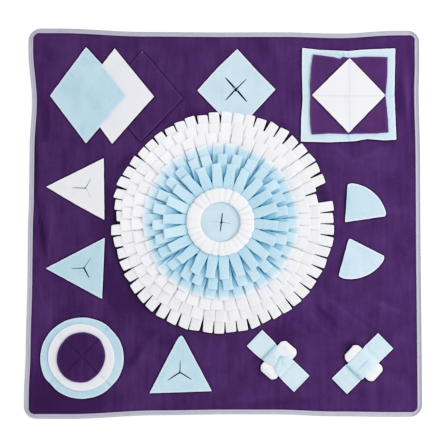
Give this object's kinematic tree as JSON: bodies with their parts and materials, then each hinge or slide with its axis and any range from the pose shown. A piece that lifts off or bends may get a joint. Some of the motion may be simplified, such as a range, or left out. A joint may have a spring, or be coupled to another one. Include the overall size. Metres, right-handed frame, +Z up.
{
  "type": "snuffle mat",
  "caption": "Square fleece snuffle mat with a bound edge, a fringed rosette, flat slit pockets, stitched flaps and strapped pads.",
  "frame": {"origin": "on the surface the mat lies on, under the middle of its outline", "axes": "+X to the mat's right side, +Y to its top edge, the one with the overlapped diamonds and the square flap, +Z up out of the fleece side"},
  "size_m": [0.7, 0.6916, 0.0165],
  "materials": {
    "purple_fleece": "deep purple short-pile fleece, matt",
    "blue_fleece": "pale blue short-pile fleece, matt",
    "white_fleece": "white short-pile fleece, matt",
    "lavender_binding": "pale grey-lavender woven binding tape, matt"
  },
  "bodies": {
    "root": {"mat_panel": "purple_fleece", "edge_binding": "lavender_binding", "diamond_purple": "purple_fleece", "diamond_white": "white_fleece", "diamond_blue": "blue_fleece", "diamond_slit": "blue_fleece", "square_blue": "blue_fleece", "square_purple": "purple_fleece", "square_diamond": "white_fleece", "triangle_white": "white_fleece", "triangle_blue": "blue_fleece", "triangle_low": "blue_fleece", "disc_blue": "blue_fleece", "disc_white": "white_fleece", "disc_purple": "purple_fleece", "quarter_upper": "blue_fleece", "quarter_lower": "blue_fleece", "strap_left": "blue_fleece", "pad_left": "white_fleece", "strap_right": "blue_fleece", "pad_right": "white_fleece", "fringe_1_upper": "white_fleece", "fringe_1_lower": "white_fleece", "fringe_2": "white_fleece", "fringe_3": "white_fleece", "fringe_4": "blue_fleece", "fringe_5": "blue_fleece", "fringe_6": "blue_fleece", "centre_patch": "blue_fleece", "centre_ruffle": "white_fleece"}
  },
  "joints": []
}
